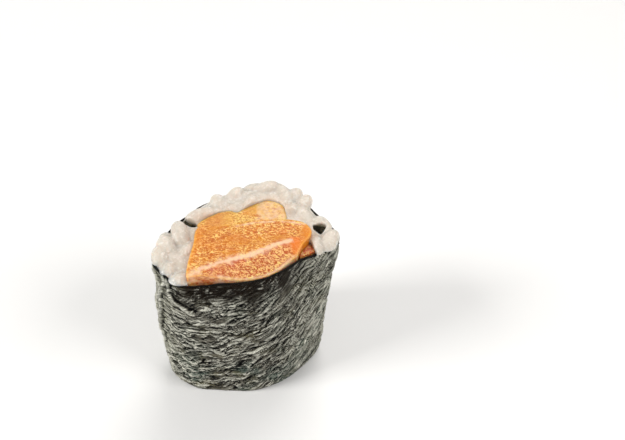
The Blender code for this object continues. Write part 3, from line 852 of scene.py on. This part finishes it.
def inside_outline(x, y, ring):
    """True for each plan point inside a closed ring: a line to its right crosses the ring an odd number of times."""
    x, y = np.asarray(x)[..., None], np.asarray(y)[..., None]
    step = np.roll(ring, -1, 0) - ring
    above = ring[:, 1] > y
    crosses = above != np.roll(above, -1, -1)
    rise = np.where(step[:, 1] == 0, 1e-9, step[:, 1])
    meets = ring[:, 0] + (y - ring[:, 1]) / rise * step[:, 0]
    return np.count_nonzero(crosses & (x < meets), -1) % 2 == 1


def inside_strips(point, margin):
    """True where a plan point is within `margin` of a salmon strip's outline, or inside it."""
    for outline in (SLAB_OUTLINE, STRIP_OUTLINE, SLIVER_OUTLINE):
        curve, normal = closed_curve(outline, 120)
        if inside_outline(point[0], point[1], curve + normal * margin):
            return True
    return False


def grain_places():
    """Where the grains of the cut top lie: the placed ones, a row along the rim, then others that find room."""
    draw = random.Random(GRAIN_SEED)
    places = list(PLACED_GRAINS)
    steps = int(outline_length(RIM_OUTLINE) / EDGE_SPACING)
    edge = [((step + draw.uniform(-0.1, 0.1)) / steps, EDGE_INSET) for step in range(steps)]
    inner = [(draw.random(), draw.uniform(2.2, 11.0)) for _ in range(GRAIN_TRIES)]
    for turn, inset in edge + inner:
        x, y, _ = wall(turn, HEIGHT, -inset)
        near = min(math.hypot(x - p[0], y - p[1]) for p in places)
        if near > GRAIN_SPACING and not inside_strips((x, y), 0.4):
            top = float(rice_level(np.array([[x, y]]))[0]) + draw.uniform(-0.35, 0.35)
            rise = draw.triangular(*GRAIN_RISE)
            places.append((x, y, top, draw.uniform(0.0, 180.0), rise, GRAIN_LENGTH * draw.uniform(0.85, 1.1)))
    return places


def grain_axes(place):
    """The middle of a grain, and the turn from its own axes (length, width, thickness) to the roll's."""
    x, y, top, heading, rise, length = place
    tilt, turn = math.radians(rise), math.radians(heading)
    half_height = 0.5 * math.hypot(length * math.sin(tilt), GRAIN_THICKNESS * math.cos(tilt))
    c, s = math.cos(tilt), math.sin(tilt)
    tipped = np.array([[c, 0.0, s], [0.0, 1.0, 0.0], [-s, 0.0, c]])
    c, s = math.cos(turn), math.sin(turn)
    turned = np.array([[c, s, 0.0], [-s, c, 0.0], [0.0, 0.0, 1.0]])
    return np.array([x, y, top - half_height]), tipped @ turned


def grain_surface(place):
    """One grain: rings along its length whose girth follows a blunt ellipse, with its belly a little fuller than its
    back, turned to its heading and tipped by its rise."""
    t = -np.cos(np.linspace(0.0, math.pi, GRAIN_RINGS))[:, None]
    a = np.linspace(0.0, 2 * math.pi, GRAIN_ROUND + 1)[:-1][None, :]
    girth = np.sqrt(np.clip(1.0 - np.abs(t) ** 2.6, 0.0, 1.0))
    belly = 0.12 * (1.0 - t**2)
    along = t + 0.0 * a
    wide = girth * np.cos(a)
    thick = girth * np.sin(a) + belly * (np.sin(a) > 0)
    middle, axes = grain_axes(place)
    return np.stack([place[5] * along, GRAIN_WIDTH * wide, GRAIN_THICKNESS * thick], -1) / 2 @ axes + middle


def loft(rings):
    """Points and faces of a closed solid through rings of as many points each, with one face at each end."""
    points = np.concatenate(rings)
    around = len(rings[0])
    faces = grid_faces(len(rings), around, close_columns=True).tolist()
    faces += [list(range(around))[::-1], list(range((len(rings) - 1) * around, len(rings) * around))]
    return points, faces


def joined(shells):
    """The points and faces of several closed surfaces, as one list of each."""
    points, faces, start = [], [], 0
    for some_points, some_faces in shells:
        points.append(np.asarray(some_points).reshape(-1, 3))
        faces += [[start + i for i in face] for face in some_faces]
        start += len(points[-1])
    return np.concatenate(points), faces


def applied(piece):
    """Makes the piece's modifiers part of its mesh."""
    graph = bpy.context.evaluated_depsgraph_get()
    mesh = bpy.data.meshes.new_from_object(piece.evaluated_get(graph))
    piece.modifiers.clear()
    piece.data = mesh


def fused(name, shells, material, voxel, passes):
    """Closed surfaces fused into one skin by small voxels, and smoothed to soften its creases."""
    points, faces = joined(shells)
    piece = new_piece(name, points, faces, material)
    remesh = piece.modifiers.new("fuse", "REMESH")
    remesh.mode = "VOXEL"
    remesh.voxel_size = voxel * MM
    soften = piece.modifiers.new("soften", "SMOOTH")
    soften.factor = 0.5
    soften.iterations = passes
    applied(piece)
    return piece


def rice_wall(turns, z, inset=0.24):
    """One level ring just inside the nori, following its lumps."""
    length = outline_length(RIM_OUTLINE)
    return wall(turns, z, pressed(turns * length, z) - inset)


def grain_shells(places):
    """The surfaces of many grains."""
    quads = grid_faces(GRAIN_RINGS, GRAIN_ROUND, close_columns=True).tolist()
    return [(grain_surface(place), quads) for place in places]


def boolean(piece, operation, other):
    """Adds another object to a piece, or cuts it away, and removes that object."""
    modifier = piece.modifiers.new(operation.lower(), "BOOLEAN")
    modifier.operation = operation
    modifier.solver = "MANIFOLD"
    modifier.object = other
    applied(piece)
    bpy.data.objects.remove(other)


def keep_largest_part(mesh):
    """Removes every loose part of a mesh but the one with the most points."""
    shape = bmesh.new()
    shape.from_mesh(mesh)
    left = set(shape.verts)
    parts = []
    while left:
        part = [left.pop()]
        for point in part:
            for edge in point.link_edges:
                other = edge.other_vert(point)
                if other in left:
                    left.remove(other)
                    part.append(other)
        parts.append(part)
    parts.sort(key=len)
    for part in parts[:-1]:
        bmesh.ops.delete(shape, geom=part, context="VERTS")
    shape.to_mesh(mesh)
    shape.free()


def places_of(mesh):
    """Where a mesh's points are."""
    co = np.empty(len(mesh.vertices) * 3, np.float32)
    mesh.vertices.foreach_get("co", co)
    return co.reshape(-1, 3)


def rice_looks(points, grains):
    """Values per point of the rice: the tone of the nearest grain, the painted shade of the seams where two grains
    are equally near, the painted light bounced from the salmon beside it, and the painted shade in the hollows."""
    count = len(points)
    first, second = np.full((2, count), 9.0)
    tint, salmon_bounce_light, hollow_shade = np.zeros((3, count))
    shades = np.random.default_rng(SHADE_SEED).random(len(grains))
    for shade, grain in zip(shades, grains):
        middle, axes = grain_axes(grain)
        near = np.flatnonzero(np.abs(points - middle).max(1) < 4.0)
        local = (points[near] - middle) @ axes.T / (grain[5] / 2, GRAIN_WIDTH / 2, GRAIN_THICKNESS / 2)
        reach = np.linalg.norm(local, axis=1)
        closer = reach < first[near]
        second[near] = np.where(closer, first[near], np.minimum(second[near], reach))
        first[near] = np.where(closer, reach, first[near])
        tint[near] = np.where(closer, shade, tint[near])
    # Painted shade in the seams.
    seam_shade = bell(second - first, 0.10) * (second < 2.0)
    x, y, z = points.T
    # Painted light bounced from the salmon, near the strips.
    for outline in (SLAB_OUTLINE, STRIP_OUTLINE):
        curve, _ = closed_curve(outline, 60)
        gap, _ = line_distance(x, y, np.vstack([curve, curve[:1]]))
        salmon_bounce_light = np.maximum(salmon_bounce_light, bell(gap, 1.1))
    # Painted shade in the hollows.
    for outline in HOLLOWS:
        curve, _ = closed_curve(outline, 60)
        gap, _ = line_distance(x, y, np.vstack([curve, curve[:1]]))
        gap = np.where(inside_outline(x, y, curve), 0.0, gap)
        hollow_shade = np.maximum(hollow_shade, smooth((0.3 - gap) / 0.2) * smooth((35.6 - z) / 0.7) * (z > 33.0))
    return {"grain": tint, "seam_shade": seam_shade, "salmon_bounce_light": salmon_bounce_light, "hollow_shade": hollow_shade}


def make_rice(material):
    """The rice: grains fused on a core at the upper cut face, grains cut flush at the lower one, and between the two
    a plain wall that the nori hides, with the salmon cut clear of it all."""
    turns = np.arange(180) / 180.0
    places = grain_places()

    edge = rice_wall(turns, HEIGHT)[:, :2]
    middle = edge.mean(0)
    rings = [rice_wall(turns, z) for z in (32.0, 33.0, 34.0)]
    for share in (0.985, 0.95, 0.9, 0.85, 0.8, 0.55, 0.3):
        flat = middle + (edge - middle) * share
        sink = 0.10 + 0.9 * smooth((share - 0.8) / 0.18)
        rings.append(np.column_stack([flat, rice_level(flat) - sink]))
    rice = fused("rice_grains", [loft(rings)] + grain_shells(places), material, GRAIN_VOXEL, GRAIN_PASSES)

    draw = random.Random(FOOT_SEED)
    flush = []
    tries = [(draw.random(), draw.uniform(0.9, 12.5)) for _ in range(FOOT_TRIES)]
    for turn, inset in tries:
        x, y, _ = wall(turn, 0.0, -inset)
        if min([math.hypot(x - p[0], y - p[1]) for p in flush] + [9.0]) > FOOT_SPACING:
            top, heading, rise = draw.uniform(1.2, 1.9), draw.uniform(0, 180), draw.uniform(0, 50)
            flush.append((x, y, top, heading, rise, GRAIN_LENGTH))
    rings = [rice_wall(turns, z) for z in (0.3, 1.2, 2.6)]
    foot = fused("rice_foot", [loft(rings)] + grain_shells(flush), material, FOOT_VOXEL, FOOT_PASSES)
    co = places_of(foot.data)
    co[:, 2] = np.maximum(co[:, 2], 0.0)
    foot.data.vertices.foreach_set("co", co.ravel())

    body = loft([rice_wall(turns, z, 0.27) for z in (2.0, 6.0, 12.0, 18.0, 24.0, 29.0, 32.6)])
    boolean(rice, "UNION", new_piece("rice_middle", *body, material))
    boolean(rice, "UNION", foot)
    around = np.arange(240) / 240.0
    along = around * outline_length(RIM_OUTLINE)
    rim = rim_height(around) + 0.12
    outer = [wall(around, z, 6.0) for z in (-1.0, 34.0, rim)]
    inner = [wall(around, z, pressed(along, z) - 0.2) for z in (rim, 34.0, 30.0)]
    inner += [wall(around, z, -0.2) for z in (15.0, -1.0)]
    keep = np.concatenate(outer + inner)
    faces = grid_faces(len(outer + inner), 240, close_rows=True, close_columns=True).tolist()
    boolean(rice, "DIFFERENCE", new_piece("nori_room", keep, faces, material))
    for outline, swell in ((SLAB_OUTLINE, SWELL), (STRIP_OUTLINE, SWELL), (SLIVER_OUTLINE, SLIVER_SWELL)):
        curve, normal = closed_curve(outline, 120)
        grown = curve + normal * (swell - 0.03)
        levels = (-1.0, 8.0, 16.0, 24.0, 30.0, HEIGHT, HEIGHT + 6.0)
        rings = [np.column_stack([follow_wall(grown, z), np.full(120, z)]) for z in levels]
        boolean(rice, "DIFFERENCE", new_piece("strip_room", *loft(rings), material))
    for outline in HOLLOWS:
        curve, normal = closed_curve(outline, 48)
        rings = []
        for z, grow in ((HOLLOW_FLOOR, -0.15), (HEIGHT, 0.0), (HEIGHT + 6.0, 0.1)):
            rings.append(np.column_stack([follow_wall(curve + normal * grow, z), np.full(48, z)]))
        boolean(rice, "DIFFERENCE", new_piece("hollow", *loft(rings), material))

    keep_largest_part(rice.data)
    set_values(rice.data, rice_looks(places_of(rice.data) / MM - AXIS, places + flush))
    rice.data.shade_smooth()
    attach(rice, "root")
    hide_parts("rice")


# Studio


def make_floor():
    """A plain pale floor: one profile, flat and then curving up, turned all the way round the object."""
    bend = np.linspace(0.0, 0.5 * math.pi, 13)
    reach = np.concatenate([[0.05, 0.2, 0.5, 1.0], 1.5 + 0.6 * np.sin(bend), [2.1]])
    rise = np.concatenate([[0.0] * 4, 0.6 - 0.6 * np.cos(bend), [1.4]])
    around = 2 * math.pi * np.arange(72) / 72.0
    x, y = reach[:, None] * np.cos(around), reach[:, None] * np.sin(around)
    points = np.stack([x, y, rise[:, None] + 0 * around], -1)
    points[..., 2] -= 0.00002
    faces = grid_faces(len(reach), 72, close_columns=True)[:, ::-1].tolist() + [list(range(72))]
    mesh = bpy.data.meshes.new("floor")
    mesh.from_pydata(points.reshape(-1, 3).tolist(), [], faces)
    mesh.shade_smooth()
    m = Nodes("floor_pale")
    pale = m.finish(Base_Color=rgb(0.84, 0.835, 0.825), Roughness=0.45, Specular_IOR_Level=0.3)
    mesh.materials.append(pale)
    floor = new_object("floor", mesh)


def placed(right, up, back, place):
    """The matrix of something at a place, from the directions of its own right, up and back."""
    rows = [(*row, at) for row, at in zip(np.column_stack([right, up, back]), place)]
    return Matrix(rows + [(0, 0, 0, 1)])


def add_light(name, place, aim, size, watts, colour):
    """A square soft light that faces a point."""
    light = bpy.data.lights.new(name, "AREA")
    light.shape = "SQUARE"
    light.size = size
    light.energy = watts
    light.color = colour
    lamp = new_object(name, light)
    back = np.array(place) - np.array(aim)
    back = back / np.linalg.norm(back)
    right = np.cross((0.0, 0.0, 1.0), back)
    right = right / np.linalg.norm(right)
    up = np.cross(back, right)
    lamp.matrix_world = placed(right, up, back, place)


def make_studio():
    """Soft light from all round, and three soft lights: behind, to the left and to the right."""
    world = bpy.data.worlds.new("studio")
    world.use_nodes = True
    sky = world.node_tree.nodes["Background"].inputs
    sky["Color"].default_value = rgb(0.93, 0.96, 1.0)
    sky["Strength"].default_value = 0.26
    bpy.context.scene.world = world
    add_light("light_back", (0.15, 0.65, 1.10), (0.0, 0.0, 0.03), 0.70, 7.0, (1.0, 0.98, 0.95))
    add_light("light_left", (-1.05, -0.40, 0.75), (0.0, 0.0, 0.02), 0.40, 13.0, (1.0, 0.99, 0.97))
    add_light("light_right", (0.95, -0.25, 0.85), (0.0, 0.0, 0.02), 0.50, 7.5, (1.0, 0.98, 0.96))
    bpy.context.scene.view_settings.view_transform = "Standard"


def make_camera():
    """The camera: a wide lens close to the roll, looking down at about 44 degrees, and leaning a little."""
    lens = bpy.data.cameras.new("camera")
    lens.sensor_width = 36.0
    lens.lens = 472.0 * 36.0 / 625.0
    lens.clip_start = 0.002
    camera = new_object("camera", lens)
    right = (0.9945, 0.0732, 0.0748)
    up = (-0.1047, 0.6954, 0.7110)
    back = (0.0, -0.7149, 0.6992)
    place = (np.array((10.0, -53.5, 91.4)) + AXIS) * MM
    camera.matrix_world = placed(right, up, back, place)
    bpy.context.scene.camera = camera


def main():
    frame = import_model()

    make_nori(nori_material())
    # Each flesh: its own colour, its darker colour and its fat, then the turn of its bands in degrees.
    wet, pale, dark = (
        salmon_material("salmon_wet", (0.72, 0.245, 0.008), (0.66, 0.180, 0.006), (0.93, 0.66, 0.47), -33.0),
        salmon_material("salmon_pale", (0.80, 0.43, 0.075), (0.76, 0.34, 0.050), (0.86, 0.58, 0.38), -20.0),
        # The sliver's flesh: a darker copy of the salmon, as painted shade.
        salmon_material("salmon_shaded", (0.50, 0.085, 0.028), (0.40, 0.055, 0.018), (0.8, 0.4, 0.3), -20.0),
    )
    # Each strip's node, outline, cut face, looks and material, then its half width, relief and swell.
    for strip in (
        ("salmon_slab", SLAB_OUTLINE, slab_top, slab_looks, wet, 7.5, 0.07, SWELL),
        ("salmon_strip", STRIP_OUTLINE, level(STRIP_TOP), strip_looks, pale, 3.4, 0.06, SWELL),
        ("salmon_sliver", SLIVER_OUTLINE, level(SLIVER_TOP), sliver_looks, dark, 1.4, 0.03, SLIVER_SWELL),
    ):
        make_strip(*strip)
    make_rice(rice_material())

    make_floor()
    make_studio()
    make_camera()

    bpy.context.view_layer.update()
    assert frame["bodies"]


main()
